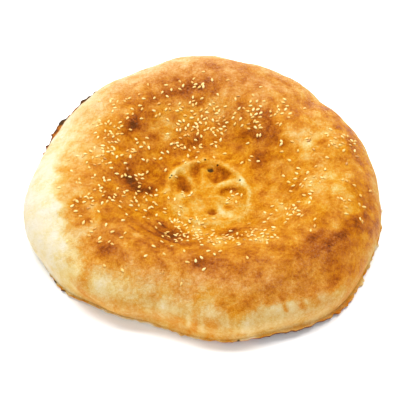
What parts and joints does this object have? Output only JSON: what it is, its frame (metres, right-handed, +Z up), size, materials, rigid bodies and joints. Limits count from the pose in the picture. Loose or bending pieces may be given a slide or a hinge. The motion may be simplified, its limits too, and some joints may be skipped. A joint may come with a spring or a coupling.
{
  "type": "flatbread",
  "caption": "Round leavened flatbread with a puffed golden ring of crust, a thin stamped middle, a crisp thin lip and sesame seeds on top.",
  "frame": {"origin": "centre of the bounding box in plan, on the flat underside", "axes": "+Z up, out of the stamped top; -Y towards the side that the picture shows nearest"},
  "size_m": [0.2862, 0.2816, 0.0458],
  "materials": {
    "crust": "baked crust, golden to brown with pale floury sides, satin where browned",
    "sesame": "hulled seeds, ivory, a few toasted"
  },
  "bodies": {
    "root": {"flatbread": "crust"}
  },
  "joints": []
}
